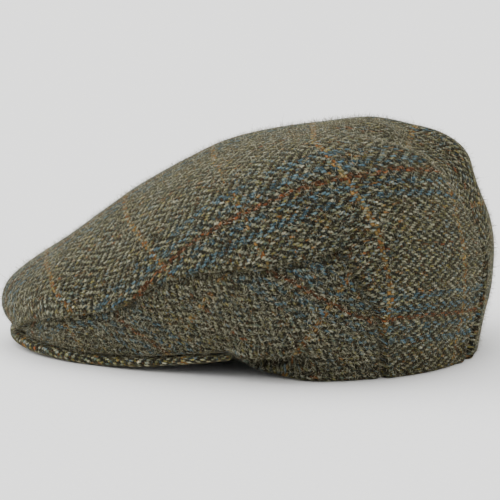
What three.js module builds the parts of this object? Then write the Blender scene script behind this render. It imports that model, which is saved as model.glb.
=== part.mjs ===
// Flat cap of thick woven wool, as it lies on a table.
// Millimetres, +Z up. The peak points to -X, the back of the cap to +X, the wearer's left to -Y.
// The origin is the middle of the head opening, on the surface that the hem lies on.

import * as THREE from 'three';

// Sizes of the head opening and of the cloth.
const HEAD_LENGTH = 205; // inside the hem, forehead to back of the head
const HEAD_WIDTH = 158; // inside the hem, temple to temple
const CLOTH = 2.2; // one wall of thick woven wool
const HEM = 3; // the wall at the hem, where the cloth is folded back
const HEM_HEIGHT = 8; // how far up the folded cloth reaches
const SEAM_GAP = 0.3; // left between two sewn edges

// Sizes of the crown.
const CROWN_HEIGHT = 129; // its top over the surface that the hem lies on
const SIDE_BULGE = 12; // how far it swells past the hem at each side
const BACK_BULGE = 9; // how far it swells past the hem at the back
const NOSE_OVERHANG = 4.5; // how far it swells past the edge of the peak
const PINCH_DEPTH = 10; // the hollow between the two lobes at the back of the top
const TUCK_DEPTH = 2.5; // how far the side is drawn in behind the end of the peak
const GROOVE_DEPTH = 1.6; // the centre back seam
const GROOVE_WIDTH = 3.5;
const SEAM_DIP = 1.1; // how far the cloth sinks towards a seam
const SEAM_ROLL = 4; // over what width it sinks

// Sizes of the peak.
const PEAK_DEPTH = 62; // forehead to the front edge
const PEAK_THICKNESS = 5.2; // a board between two layers of cloth
const PEAK_RISE = 10; // its ends at the temples over the surface it lies on
const PEAK_SLOPE = 0.1; // it falls this much for each millimetre towards its edge
const FRONT_LEDGE = 3; // what shows of the peak in front of the crown's edge
const SIDE_LEDGE = 1.5; // what shows of it beside the crown's edge
const TEMPLE_ANGLE = 91.6; // where the peak ends, in degrees from the back

const COLUMNS_BEHIND = 10; // columns of each side panel behind the end of the peak
const COLUMNS_AHEAD = 12; // columns of each side panel over the peak

// The outer edge of the hem, of the widest part and of the peak.
const RIM_BACK = HEAD_LENGTH / 2 + HEM;
const RIM_HALF = HEAD_WIDTH / 2 + HEM;
const PEAK_FRONT = HEAD_LENGTH / 2 + PEAK_DEPTH;
const PEAK_HALF = RIM_HALF + SIDE_LEDGE;
const RIM_FRONT = PEAK_FRONT - FRONT_LEDGE;
const CROWN_BACK = RIM_BACK + BACK_BULGE;
const CROWN_HALF = RIM_HALF + SIDE_BULGE;
const CROWN_NOSE = PEAK_FRONT + NOSE_OVERHANG;

// Rings of the crown over the hem, from the lowest to the top. centre and back are shares of CROWN_BACK,
// front of CROWN_NOSE, half of CROWN_HALF, and the three heights of CROWN_HEIGHT. boxy is 2 on an ellipse
// and more on a squarer ring, and lift is the share of the hem's own rise that the ring takes on.
const RINGS = [
  { centre: 0.0, back: 0.95, front: 1.0, half: 0.936, boxyBack: 2.1, boxyFront: 2.6,
    backHigh: 0.123, sideHigh: 0.123, frontHigh: 0.108, lift: 0.8 },
  { centre: 0.02, back: 0.985, front: 0.985, half: 1.0, boxyBack: 2.2, boxyFront: 2.6,
    backHigh: 0.292, sideHigh: 0.277, frontHigh: 0.215, lift: 0.5 },
  { centre: 0.05, back: 0.995, front: 0.93, half: 1.0, boxyBack: 2.1, boxyFront: 2.5,
    backHigh: 0.492, sideHigh: 0.492, frontHigh: 0.31, lift: 0.2 },
  { centre: 0.1, back: 0.925, front: 0.782, half: 0.915, boxyBack: 2.1, boxyFront: 2.4,
    backHigh: 0.71, sideHigh: 0.71, frontHigh: 0.455, lift: 0 },
  { centre: 0.19, back: 0.825, front: 0.529, half: 0.723, boxyBack: 2.1, boxyFront: 2.2,
    backHigh: 0.875, sideHigh: 0.882, frontHigh: 0.69, lift: 0 },
  { centre: 0.3, back: 0.67, front: 0.2, half: 0.436, boxyBack: 2.0, boxyFront: 2.0,
    backHigh: 0.945, sideHigh: 0.972, frontHigh: 0.905, lift: 0 },
];
const TOP_CENTRE = 0.385; // where the top lies, as a share of CROWN_BACK
const HEM_BOXY_BACK = 2.1;
const HEM_BOXY_FRONT = 2.55;

// The side seam from the rear corner of the side panel to its front tip, and the rear seam from the hem
// up to that corner. angle is in degrees from the back, level the share of the way from hem to top.
const SIDE_SEAM = [
  { angle: 56, level: 0.455 },
  { angle: 70, level: 0.427 },
  { angle: 83, level: 0.404 },
  { angle: 96, level: 0.398 },
  { angle: 107, level: 0.392 },
  { angle: 115, level: 0.372 },
  { angle: 121, level: 0.325 },
  { angle: 127, level: 0.27 },
  { angle: 136, level: 0.243 },
  { angle: 146, level: 0.195 },
  { angle: 154, level: 0.118 },
  { angle: 161, level: 0.024 },
];
const REAR_SEAM = [
  { angle: 38, level: 0 },
  { angle: 40, level: 0.15 },
  { angle: 44.5, level: 0.295 },
  { angle: 50.5, level: 0.385 },
  { angle: 56, level: 0.455 },
];
const TIP_ANGLE = 162.5; // where the front end of the side panel meets the hem

// The underside of the peak along its edge: height is a share of PEAK_RISE, and thick of PEAK_THICKNESS.
const PEAK_EDGE = [
  { angle: 90, height: 1.0, thick: 0.6 },
  { angle: 100, height: 0.75, thick: 0.85 },
  { angle: 110, height: 0.53, thick: 1 },
  { angle: 120, height: 0.3, thick: 1 },
  { angle: 131, height: 0.12, thick: 1 },
  { angle: 143, height: 0, thick: 1 },
  { angle: 154, height: 0.05, thick: 1 },
  { angle: 180, height: 0.3, thick: 1 },
];

// The hem behind the end of the peak: it comes down from the temple to the surface.
const HEM_RISE = [
  { angle: 0, height: 0 },
  { angle: 56, height: 0 },
  { angle: 66, height: 0.05 },
  { angle: 76, height: 0.16 },
  { angle: 82, height: 0.34 },
  { angle: 86, height: 0.6 },
  { angle: 89.4, height: 1.02 },
];

// The hollow at the back of the top. width is a share of CROWN_HALF, depth of PINCH_DEPTH.
const PINCH = [
  { level: 0.34, width: 0.06, depth: 0 },
  { level: 0.45, width: 0.09, depth: 0.18 },
  { level: 0.55, width: 0.13, depth: 0.5 },
  { level: 0.66, width: 0.19, depth: 0.85 },
  { level: 0.76, width: 0.24, depth: 1 },
  { level: 0.86, width: 0.27, depth: 0.75 },
  { level: 0.94, width: 0.27, depth: 0.2 },
  { level: 1, width: 0.27, depth: 0 },
];

const radians = (degrees) => (degrees * Math.PI) / 180;
const clamp01 = (value) => Math.min(1, Math.max(0, value));
const smooth = (value) => clamp01(value) ** 2 * (3 - 2 * clamp01(value));
const mix = (a, b, share) => a + (b - a) * share;

// The value of a table's column at x, on one smooth curve through its rows.
function readTable(rows, xName, yName, x) {
  const last = rows.length - 1;
  if (x <= rows[0][xName]) return rows[0][yName];
  if (x >= rows[last][xName]) return rows[last][yName];
  const i = rows.findIndex((row) => row[xName] > x) - 1;
  const span = (k) => rows[k + 1][xName] - rows[k][xName];
  const rise = (k) => (rows[k + 1][yName] - rows[k][yName]) / span(k);
  const tangent = (k) => {
    if (k === 0) return rise(0);
    if (k === last) return rise(last - 1);
    const before = rise(k - 1);
    const after = rise(k);
    return before * after <= 0 ? 0 : (2 * before * after) / (before + after);
  };
  const u = (x - rows[i][xName]) / span(i);
  const step = rows[i + 1][yName] - rows[i][yName];
  const bend = (tangent(i) * (1 - u) - tangent(i + 1) * u) * span(i) + step * (2 * u - 1);
  return rows[i][yName] + step * u + u * (1 - u) * bend;
}

// How far an angle lies from the back, 0 to 180 degrees.
const fromBack = (angle) => Math.abs(((((angle + 180) % 360) + 360) % 360) - 180);

// Distance from the middle to a rounded outline along a ray.
function ovalRadius(angle, back, front, half, boxyBack, boxyFront) {
  const c = Math.cos(radians(angle));
  const s = Math.sin(radians(angle));
  const towardBack = 0.5 * (1 + Math.tanh(2.2 * c) / Math.tanh(2.2));
  const boxy = mix(boxyFront, boxyBack, towardBack);
  const reach = c > 0 ? back : front;
  return (Math.abs(c / reach) ** boxy + Math.abs(s / half) ** boxy) ** (-1 / boxy);
}

const rimRadius = (angle) =>
  ovalRadius(angle, RIM_BACK, RIM_FRONT, RIM_HALF, HEM_BOXY_BACK, HEM_BOXY_FRONT);
const peakRadius = (angle) =>
  ovalRadius(angle, RIM_BACK, PEAK_FRONT, PEAK_HALF, HEM_BOXY_BACK, HEM_BOXY_FRONT);
const headRadius = (angle) =>
  ovalRadius(angle, HEAD_LENGTH / 2, HEAD_LENGTH / 2, HEAD_WIDTH / 2, HEM_BOXY_BACK, HEM_BOXY_BACK);

// Underside and top of the peak at a distance inwards from its edge.
const peakUnder = (angle, inward) =>
  PEAK_RISE * readTable(PEAK_EDGE, 'angle', 'height', fromBack(angle)) + PEAK_SLOPE * inward;
const peakTop = (angle, inward) =>
  peakUnder(angle, inward) + PEAK_THICKNESS * readTable(PEAK_EDGE, 'angle', 'thick', fromBack(angle));

// Height of the crown's lower edge: on the surface at the back, on the peak at the front.
function rimHeight(angle) {
  const turn = fromBack(angle);
  const last = HEM_RISE[HEM_RISE.length - 1];
  const onPeak = (at) => peakTop(at, peakRadius(at) - rimRadius(at) + HEM) + SEAM_GAP;
  if (turn >= TEMPLE_ANGLE) return onPeak(turn);
  if (turn <= last.angle) return PEAK_RISE * readTable(HEM_RISE, 'angle', 'height', turn);
  const share = (turn - last.angle) / (TEMPLE_ANGLE - last.angle);
  return mix(PEAK_RISE * last.height, onPeak(TEMPLE_ANGLE), share);
}

// One ring's point on a ray. Ring 0 is the hem, and the ring past the last is the top itself.
function ringPoint(index, angle) {
  const c = Math.cos(radians(angle));
  const s = Math.sin(radians(angle));
  if (index === 0) {
    const r = rimRadius(angle);
    return new THREE.Vector3(r * c, r * s, rimHeight(angle));
  }
  if (index > RINGS.length) return new THREE.Vector3(TOP_CENTRE * CROWN_BACK, 0, CROWN_HEIGHT);
  const ring = RINGS[index - 1];
  const centre = ring.centre * CROWN_BACK;
  const back = ring.back * CROWN_BACK - centre;
  const front = ring.front * CROWN_NOSE + centre;
  const r = ovalRadius(angle, back, front, ring.half * CROWN_HALF, ring.boxyBack, ring.boxyFront);
  const { backHigh, sideHigh, frontHigh } = ring;
  const even = (backHigh + 2 * sideHigh + frontHigh) / 4;
  const lean = (backHigh - frontHigh) / 2;
  const saddle = (backHigh - 2 * sideHigh + frontHigh) / 4;
  const height = CROWN_HEIGHT * (even + lean * c + saddle * Math.cos(2 * radians(angle)));
  return new THREE.Vector3(centre + r * c, r * s, height + ring.lift * rimHeight(angle));
}

// The crown before it is pinched: a smooth curve up through the rings on each ray.
function crownBase(angle, level) {
  const count = RINGS.length + 1;
  const place = clamp01(level) * count;
  const i = Math.min(Math.floor(place), count - 1);
  const u = place - i;
  const b = ringPoint(i, angle);
  const c = ringPoint(i + 1, angle);
  const a = i === 0 ? b.clone().multiplyScalar(2).sub(c) : ringPoint(i - 1, angle);
  const d = i === count - 1 ? ringPoint(count - 1, angle + 180) : ringPoint(i + 2, angle);
  const curve = (key) =>
    0.5 * (2 * b[key] + (c[key] - a[key]) * u +
      (2 * a[key] - 5 * b[key] + 4 * c[key] - d[key]) * u * u +
      (3 * b[key] - a[key] - 3 * c[key] + d[key]) * u * u * u);
  return new THREE.Vector3(curve('x'), curve('y'), curve('z'));
}

// Outward normal of a surface given as a function of angle and level.
function normalOf(surface, angle, level) {
  if (level > 0.995) return new THREE.Vector3(0, 0, 1);
  const low = Math.max(0, level - 0.004);
  const around = surface(angle + 0.4, level).sub(surface(angle - 0.4, level));
  const up = surface(angle, level + 0.004).sub(surface(angle, low));
  return around.cross(up).normalize();
}

// How deep the large hollows are: the pinch behind the top and the tuck behind each end of the peak.
function hollowDepth(angle, level, point) {
  const width = CROWN_HALF * readTable(PINCH, 'level', 'width', level);
  const atBack = smooth((Math.cos(radians(angle)) - 0.1) / 0.5);
  const pinch = readTable(PINCH, 'level', 'depth', level) * Math.exp(-((point.y / width) ** 2)) * atBack;
  const behindPeak = Math.exp(-(((fromBack(angle) - 79) / 9) ** 2));
  const tuck = behindPeak * (1 - smooth(level / 0.1));
  return PINCH_DEPTH * pinch + TUCK_DEPTH * tuck;
}

function crownSoft(angle, level) {
  const point = crownBase(angle, level);
  const depth = hollowDepth(angle, level, point);
  return point.addScaledVector(normalOf(crownBase, angle, level), -depth);
}

// The wall's direction: square to the cloth, and level at the hem so that the hem lies flat.
function wallDirection(angle, level) {
  const normal = normalOf(crownSoft, angle, level);
  normal.z *= smooth(level / 0.06);
  return normal.normalize();
}

// Both faces of the cloth at one place. sunk is the share of the seam's dip that the outer face has.
function clothPair(angle, level, sunk) {
  const face = crownSoft(angle, level);
  const direction = wallDirection(angle, level);
  const above = (level * CROWN_HEIGHT) / HEM_HEIGHT;
  const wall = mix(HEM, CLOTH, smooth(above));
  const seamHeight = 1 - smooth((level - 0.35) / 0.3);
  const across = Math.cos(radians(angle)) > 0 ? face.y / GROOVE_WIDTH : Infinity;
  const groove = GROOVE_DEPTH * seamHeight * Math.exp(-(across ** 2));
  const inner = face.clone().addScaledVector(direction, -wall);
  const outer = face.addScaledVector(direction, -groove - SEAM_DIP * sunk);
  return { outer, inner };
}

// A closed wall between an outer and an inner grid of points, grid[column][row]. Points that fall on one
// place, such as the top of the crown, are one vertex.
function wallGeometry(outer, inner, wraps) {
  const positions = [];
  const index = [];
  const known = new Map();
  const numberOf = (point) => {
    const key = point.toArray().map((value) => value.toFixed(5)).join(' ');
    if (!known.has(key)) {
      known.set(key, positions.length / 3);
      positions.push(point.x, point.y, point.z);
    }
    return known.get(key);
  };
  const out = outer.map((column) => column.map(numberOf));
  const into = inner.map((column) => column.map(numberOf));
  const triangle = (a, b, c) => {
    if (a !== b && b !== c && c !== a) index.push(a, b, c);
  };
  const quad = (a, b, c, d) => {
    triangle(a, b, c);
    triangle(a, c, d);
  };
  const end = outer.length - 1;
  const top = outer[0].length - 1;
  for (let i = 0; i < (wraps ? end + 1 : end); i += 1) {
    const k = (i + 1) % outer.length;
    for (let j = 0; j < top; j += 1) {
      quad(out[i][j], out[k][j], out[k][j + 1], out[i][j + 1]);
      quad(into[i][j], into[i][j + 1], into[k][j + 1], into[k][j]);
    }
    quad(into[i][0], into[k][0], out[k][0], out[i][0]);
    if (!wraps) quad(out[i][top], out[k][top], into[k][top], into[i][top]);
  }
  for (let j = 0; j < (wraps ? 0 : top); j += 1) {
    quad(out[0][j], out[0][j + 1], into[0][j + 1], into[0][j]);
    quad(out[end][j], into[end][j], into[end][j + 1], out[end][j + 1]);
  }
  const geometry = new THREE.BufferGeometry();
  geometry.setAttribute('position', new THREE.Float32BufferAttribute(positions, 3));
  geometry.setIndex(index);
  geometry.computeVertexNormals();
  return geometry;
}

// Length along one level, and length from the hem to the top, used to turn the seam gap into shares.
const PROFILE_LENGTH = CROWN_HEIGHT + CROWN_HALF;
const levelGap = SEAM_GAP / 2 / PROFILE_LENGTH;
const angleGap = (SEAM_GAP / 2 / CROWN_HALF) * (180 / Math.PI);

// Places along the side seam, from the rear corner to the front end, and of the hem below them.
const seamStops = [];
const hemStops = [];
const cornerAngle = SIDE_SEAM[0].angle;
const seamEnd = SIDE_SEAM[SIDE_SEAM.length - 1].angle;
for (let i = 0; i <= COLUMNS_BEHIND + COLUMNS_AHEAD; i += 1) {
  const ahead = (i - COLUMNS_BEHIND) / COLUMNS_AHEAD;
  const behind = i / (COLUMNS_BEHIND - 1);
  const seamMiddle = mix(cornerAngle, seamEnd, 0.36);
  const hemBehind = mix(REAR_SEAM[0].angle, HEM_RISE[HEM_RISE.length - 1].angle, Math.min(1, behind));
  hemStops.push(i < COLUMNS_BEHIND ? hemBehind : mix(TEMPLE_ANGLE, TIP_ANGLE, ahead));
  const angle = i < COLUMNS_BEHIND
    ? mix(cornerAngle, seamMiddle, i / COLUMNS_BEHIND)
    : mix(seamMiddle, seamEnd, ahead);
  seamStops.push({ angle, level: readTable(SIDE_SEAM, 'angle', 'level', angle) });
}

// Places up the rear seam, from the hem to the corner.
const REAR_ROWS = 8;
const rearStops = [];
for (let j = 0; j <= REAR_ROWS; j += 1) {
  const first = REAR_SEAM[0];
  const corner = REAR_SEAM[REAR_SEAM.length - 1];
  const level = mix(first.level, corner.level, j / REAR_ROWS);
  rearStops.push({ angle: readTable(REAR_SEAM, 'level', 'angle', level), level });
}

// A side panel: a lens of cloth between the hem and the side seam. side is -1 on the left, 1 on the right.
function sidePanel(side) {
  const outer = [];
  const inner = [];
  const last = seamStops.length - 1;
  seamStops.forEach((seam, i) => {
    const outerColumn = [];
    const innerColumn = [];
    rearStops.forEach((rear, j) => {
      const up = j / REAR_ROWS;
      const bow = rear.angle - mix(rearStops[0].angle, rearStops[REAR_ROWS].angle, up);
      const straight = mix(hemStops[i], seam.angle, up);
      const inset = mix(angleGap, -angleGap, i / last);
      const angle = straight + bow * (1 - i / last) ** 3 + inset;
      const level = up * (seam.level - levelGap);
      const toSeam = Math.min((1 - up) * seam.level * PROFILE_LENGTH, i * 6, (last - i) * 6);
      const pair = clothPair(side * angle, level, Math.exp(-((toSeam / SEAM_ROLL) ** 2)));
      outerColumn.push(pair.outer);
      innerColumn.push(pair.inner);
    });
    outer.push(outerColumn);
    inner.push(innerColumn);
  });
  if (side < 0) {
    outer.reverse();
    inner.reverse();
  }
  return wallGeometry(outer, inner, false);
}

// The edge of the top panel on one side, from the back of the hem to the front of it.
function topPanelEdge() {
  const stops = [];
  const backHem = [0, 1.2, 2.6, 4.6, 8, 13, 19, 25.5, 32];
  for (const angle of backHem) stops.push({ angle, level: 0, sewn: 0 });
  for (const stop of rearStops.slice(0, -1)) {
    stops.push({ angle: stop.angle - angleGap, level: stop.level, sewn: 1 });
  }
  const corner = rearStops[REAR_ROWS];
  stops.push({ angle: corner.angle - angleGap, level: corner.level + levelGap, sewn: 1 });
  for (const stop of seamStops.slice(1, -1)) {
    stops.push({ angle: stop.angle, level: stop.level + levelGap, sewn: 1 });
  }
  const tip = seamStops[seamStops.length - 1];
  stops.push({ angle: tip.angle + angleGap, level: tip.level + levelGap, sewn: 1 });
  stops.push({ angle: TIP_ANGLE + angleGap, level: 0, sewn: 1 });
  for (const share of [0.25, 0.5, 0.75, 1]) {
    stops.push({ angle: mix(TIP_ANGLE, 180, share), level: 0, sewn: 1 });
  }
  return stops;
}

// The top panel: one piece of cloth from the peak over the crown and down to the hem at the back.
const TOP_ROWS = [0, 0.014, 0.034, 0.064, 0.105, 0.155, 0.21, 0.265, 0.32, 0.375, 0.43,
  0.485, 0.54, 0.6, 0.66, 0.72, 0.785, 0.85, 0.92, 1];
function topPanel() {
  const half = topPanelEdge();
  const mirrored = half.slice(1, -1).reverse().map((stop) => ({ ...stop, angle: -stop.angle }));
  const outer = [];
  const inner = [];
  for (const stop of [...half, ...mirrored]) {
    const pairs = TOP_ROWS.map((row) => {
      const level = mix(stop.level, 1, row);
      const toEdge = (level - stop.level) * PROFILE_LENGTH;
      return clothPair(stop.angle, level, stop.sewn * Math.exp(-((toEdge / SEAM_ROLL) ** 2)));
    });
    outer.push(pairs.map((pair) => pair.outer));
    inner.push(pairs.map((pair) => pair.inner));
  }
  return wallGeometry(outer, inner, true);
}

// The peak: a crescent of board covered with cloth, from temple to temple, with a rounded outer edge.
const PEAK_COLUMNS = 40;
const PEAK_STEPS = [0, 0.03, 0.18, 0.4, 0.7, 1]; // from the outer edge to the forehead, as shares
const EDGE_ROUNDING = 2; // how far the outer edge is rounded off
function peak() {
  const over = [];
  const under = [];
  for (let i = 0; i <= PEAK_COLUMNS; i += 1) {
    const angle = mix(TEMPLE_ANGLE + angleGap, 360 - TEMPLE_ANGLE - angleGap, i / PEAK_COLUMNS);
    const c = Math.cos(radians(angle));
    const s = Math.sin(radians(angle));
    const edge = peakRadius(angle);
    const width = edge - headRadius(angle);
    const place = (inward, height) =>
      new THREE.Vector3((edge - inward) * c, (edge - inward) * s, height);
    const waist = place(0, (peakUnder(angle, 0) + peakTop(angle, 0)) / 2);
    const inwards = PEAK_STEPS.map((step) => mix(Math.min(EDGE_ROUNDING, width / 4), width, step));
    over.push([waist, ...inwards.map((inward) => place(inward, peakTop(angle, inward)))]);
    under.push([waist, ...inwards.map((inward) => place(inward, peakUnder(angle, inward)))]);
  }
  return wallGeometry(over, under, false);
}

const tweed = (colour) => new THREE.MeshStandardMaterial({ color: colour, roughness: 0.95, metalness: 0 });

const cap = new THREE.Group();
const add = (name, geometry, material) => {
  const mesh = new THREE.Mesh(geometry, material);
  mesh.name = name;
  cap.add(mesh);
};
add('top_panel', topPanel(), tweed(0x5a5644));
add('side_panel_left', sidePanel(-1), tweed(0x545040));
add('side_panel_right', sidePanel(1), tweed(0x545040));
add('peak', peak(), tweed(0x4c4839));

export default cap;
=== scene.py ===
import math
import bmesh
import bpy
import numpy as np
from mathutils import Matrix, Vector, kdtree


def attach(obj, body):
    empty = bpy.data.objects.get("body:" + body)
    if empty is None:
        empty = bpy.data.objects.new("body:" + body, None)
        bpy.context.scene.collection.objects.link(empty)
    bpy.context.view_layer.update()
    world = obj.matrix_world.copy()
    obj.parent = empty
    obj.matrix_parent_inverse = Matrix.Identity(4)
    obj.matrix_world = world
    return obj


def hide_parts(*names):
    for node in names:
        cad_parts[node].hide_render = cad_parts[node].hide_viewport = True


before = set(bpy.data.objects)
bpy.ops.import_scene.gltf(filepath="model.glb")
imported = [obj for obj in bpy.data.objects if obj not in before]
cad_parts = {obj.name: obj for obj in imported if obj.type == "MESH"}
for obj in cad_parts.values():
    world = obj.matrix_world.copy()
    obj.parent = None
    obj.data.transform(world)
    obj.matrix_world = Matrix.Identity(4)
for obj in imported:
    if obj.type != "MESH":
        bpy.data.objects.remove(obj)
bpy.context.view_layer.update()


# --- Floor, light and camera ---------------------------------------------------------------------------
# A white paper sweep on a table, lit by large soft lamps from above, as for a shop picture of a cap.
# The camera stands 1.3 m away, to the left of the cap's back, a little above it.


def shade(hex_colour):
    """A colour as linear light, from its sRGB hex value."""
    parts = [int(hex_colour[k:k + 2], 16) / 255 for k in (0, 2, 4)]
    return tuple(p / 12.92 if p <= 0.04045 else ((p + 0.055) / 1.055) ** 2.4 for p in parts) + (1.0,)


def node(tree, kind, *ins, out=0, stops=None, **settings):
    """Adds a node and returns one of its outputs, or the node itself where out is None. kind is Blender's
    name for it without ShaderNode, with its operation after a space. Inputs are links or values, one for
    each socket in turn, or a dictionary. A ramp's stops are how it runs and a list of (place, colour)."""
    kind, _, operation = kind.partition(" ")
    made = tree.nodes.new(kind if "Node" in kind else "ShaderNode" + kind)
    if operation:
        made.operation = operation
    for key, value in settings.items():
        setattr(made, key, value)
    if stops:
        ramp = made.color_ramp
        ramp.interpolation, places = stops
        while len(ramp.elements) < len(places):
            ramp.elements.new(0.5)
        for element, (at, colour) in zip(ramp.elements, places):
            element.position = at
            element.color = shade(colour)
    by_socket = ins[0] if ins and isinstance(ins[0], dict) else dict(enumerate(ins))
    for key, value in by_socket.items():
        if isinstance(value, bpy.types.NodeSocket):
            tree.links.new(value, made.inputs[key])
        else:
            made.inputs[key].default_value = value
    return made if out is None or not made.outputs else made.outputs[out]


def painted(name):
    """A new material with nothing in it yet, and its node tree."""
    material = bpy.data.materials.new(name)
    material.use_nodes = True
    material.node_tree.nodes.clear()
    return material, material.node_tree


# Matte paper: no gloss, and a faint grain of 3 mm.
paper, paper_tree = painted("matte_white_paper")
paper_grain = node(paper_tree, "TexNoise", {"Vector": node(paper_tree, "TexCoord", out=3), "Scale": 330,
                                            "Detail": 2})
paper_colour = node(paper_tree, "Mix", {0: paper_grain, 6: shade("f4f4f3"), 7: shade("fbfbfa")}, out=2,
                    data_type="RGBA")
paper_skin = node(paper_tree, "BsdfPrincipled", {"Base Color": paper_colour, "Roughness": 0.95,
                                                 "Specular IOR Level": 0.1})
node(paper_tree, "OutputMaterial", paper_skin)

FLOOR_HALF = 14  # metres, so that its edge is far off in every view
floor_mesh = bpy.data.meshes.new("floor")
floor_corners = [(x * FLOOR_HALF, y * FLOOR_HALF, 0) for x, y in ((-1, -1), (1, -1), (1, 1), (-1, 1))]
floor_mesh.from_pydata(floor_corners, [], [(0, 1, 2, 3)])
floor_mesh.materials.append(paper)
floor = bpy.data.objects.new("floor", floor_mesh)
bpy.context.scene.collection.objects.link(floor)

# The room is brightest overhead, where the soft boxes hang, and dimmer towards the walls.
world = bpy.data.worlds.new("soft_room")
world.use_nodes = True
sky = world.node_tree
sky.nodes.clear()
upward = node(sky, "SeparateXYZ", node(sky, "TexCoord"), out=2)
overhead = node(sky, "MapRange", upward, 0.0, 0.9, 0.25, 1.5)
node(sky, "OutputWorld", node(sky, "Background", {"Color": shade("ffffff"), "Strength": overhead}))
bpy.context.scene.world = world

# name, where it shines from, how far across the sky it spreads in degrees, strength
for name, place, spread, strength in [
    ("lamp_overhead", (-0.1, 0.15, 1.5), 60, 1.9),
    ("lamp_left", (-1.3, -0.1, 0.6), 45, 2.6),
    ("lamp_right", (1.3, -0.5, 0.3), 45, 0.8),
]:
    lamp = bpy.data.lights.new(name, "SUN")
    lamp.angle = math.radians(spread)
    lamp.energy = strength
    lamp_object = bpy.data.objects.new(name, lamp)
    lamp_object.rotation_euler = (-Vector(place)).to_track_quat("-Z", "Y").to_euler()
    bpy.context.scene.collection.objects.link(lamp_object)

CAMERA_AZIMUTH = math.radians(22)
CAMERA_ELEVATION = math.radians(13)
CAMERA_ROLL = math.radians(1.5)
CAMERA_DISTANCE = 1.3
CAMERA_LENS = 165.8
# the point that the camera looks at, in metres across and above the cap's origin as it sees them
AIM_ACROSS = -0.0220
AIM_ABOVE = 0.0546
across = Vector((math.cos(CAMERA_AZIMUTH), math.sin(CAMERA_AZIMUTH), 0))
toward = Vector((math.sin(CAMERA_AZIMUTH) * math.cos(CAMERA_ELEVATION),
                 -math.cos(CAMERA_AZIMUTH) * math.cos(CAMERA_ELEVATION), math.sin(CAMERA_ELEVATION)))
above = toward.cross(across)
stand = toward * CAMERA_DISTANCE
aim = across * AIM_ACROSS + above * AIM_ABOVE
toward = (stand - aim).normalized()
across = (across * math.cos(CAMERA_ROLL) - above * math.sin(CAMERA_ROLL)).normalized()
above = toward.cross(across).normalized()
across = above.cross(toward)
camera_data = bpy.data.cameras.new("camera")
camera_data.sensor_width = 36
camera_data.lens = CAMERA_LENS
camera_data.clip_end = 60
camera = bpy.data.objects.new("camera", camera_data)
camera.matrix_world = Matrix(((across.x, above.x, toward.x, stand.x), (across.y, above.y, toward.y, stand.y),
                              (across.z, above.z, toward.z, stand.z), (0, 0, 0, 1)))
bpy.context.scene.collection.objects.link(camera)
bpy.context.scene.camera = camera


# --- Top panel -----------------------------------------------------------------------------------------
# One piece of thick woven wool from the peak over the crown, with two tails that meet in a seam at the
# centre back. It is sewn to the side panels and the peak, and its hem is folded in and pressed.
# All sizes are in millimetres and turn to metres when a mesh is made.

HEAD_LENGTH = 205
HEAD_WIDTH = 158
CLOTH = 2.2
HEM = 3
HEM_HEIGHT = 8
SEAM_GAP = 0.3
CROWN_HEIGHT = 129
SIDE_BULGE = 12
BACK_BULGE = 9
NOSE_OVERHANG = 4.5
PEAK_DEPTH = 62
PEAK_THICKNESS = 5.2
PEAK_RISE = 10
PEAK_SLOPE = 0.1
FRONT_LEDGE = 3
SIDE_LEDGE = 1.5
# Angles in degrees from the back, and levels as the share of the way from the hem to the top.
REAR_FOOT = 38  # where the rear seam stands on the hem
REAR_CORNER, CORNER_LEVEL = 56, 0.455  # where it meets the side seam
HEM_END = 89.4  # where the free hem ends and the peak begins
TEMPLE_ANGLE = 91.6
FRONT_TIP, TIP_LEVEL = 161, 0.024  # where the side seam runs out
TIP_ANGLE = 162.5
RIM_BOXY = (2.1, 2.55)
RIM_BACK = HEAD_LENGTH / 2 + HEM
RIM_HALF = HEAD_WIDTH / 2 + HEM
PEAK_FRONT = HEAD_LENGTH / 2 + PEAK_DEPTH
PEAK_HALF = RIM_HALF + SIDE_LEDGE
RIM_FRONT = PEAK_FRONT - FRONT_LEDGE
CROWN_BACK = RIM_BACK + BACK_BULGE
CROWN_HALF = RIM_HALF + SIDE_BULGE
CROWN_NOSE = PEAK_FRONT + NOSE_OVERHANG

# Rings of the crown from the lowest to the top, as shares of the sizes above.
# centre, back, front, half, boxy back, boxy front, back high, side high, front high, lift
RINGS = [
    (0.00, 0.950, 1.000, 0.936, 2.1, 2.6, 0.123, 0.123, 0.108, 0.8),
    (0.02, 0.985, 0.985, 1.000, 2.2, 2.6, 0.292, 0.277, 0.215, 0.5),
    (0.05, 0.995, 0.930, 1.000, 2.1, 2.5, 0.492, 0.492, 0.310, 0.2),
    (0.10, 0.925, 0.782, 0.915, 2.1, 2.4, 0.710, 0.710, 0.455, 0.0),
    (0.19, 0.825, 0.529, 0.723, 2.1, 2.2, 0.875, 0.882, 0.690, 0.0),
    (0.30, 0.670, 0.200, 0.436, 2.0, 2.0, 0.945, 0.972, 0.905, 0.0),
]
TOP_CENTRE = 0.385
SIDE_SEAM = [(REAR_CORNER, CORNER_LEVEL), (70, 0.427), (83, 0.404), (96, 0.398), (107, 0.392), (115, 0.372),
             (121, 0.325), (127, 0.27), (136, 0.243), (146, 0.195), (154, 0.118), (FRONT_TIP, TIP_LEVEL)]
REAR_SEAM = [(REAR_FOOT, 0), (40, 0.15), (44.5, 0.295), (50.5, 0.385), (REAR_CORNER, CORNER_LEVEL)]
# angle, height as a share of PEAK_RISE, thickness as a share of PEAK_THICKNESS
PEAK_EDGE = [(90, 1.0, 0.6), (100, 0.75, 0.85), (110, 0.53, 1), (120, 0.3, 1), (131, 0.12, 1),
             (143, 0, 1), (154, 0.13, 1), (180, 0.75, 1)]
# angle, height as a share of PEAK_RISE
HEM_END_RISE = 1.02
HEM_RISE = [(0, 0), (REAR_CORNER, 0), (66, 0.05), (76, 0.16), (82, 0.34), (86, 0.6), (HEM_END, HEM_END_RISE)]
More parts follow.
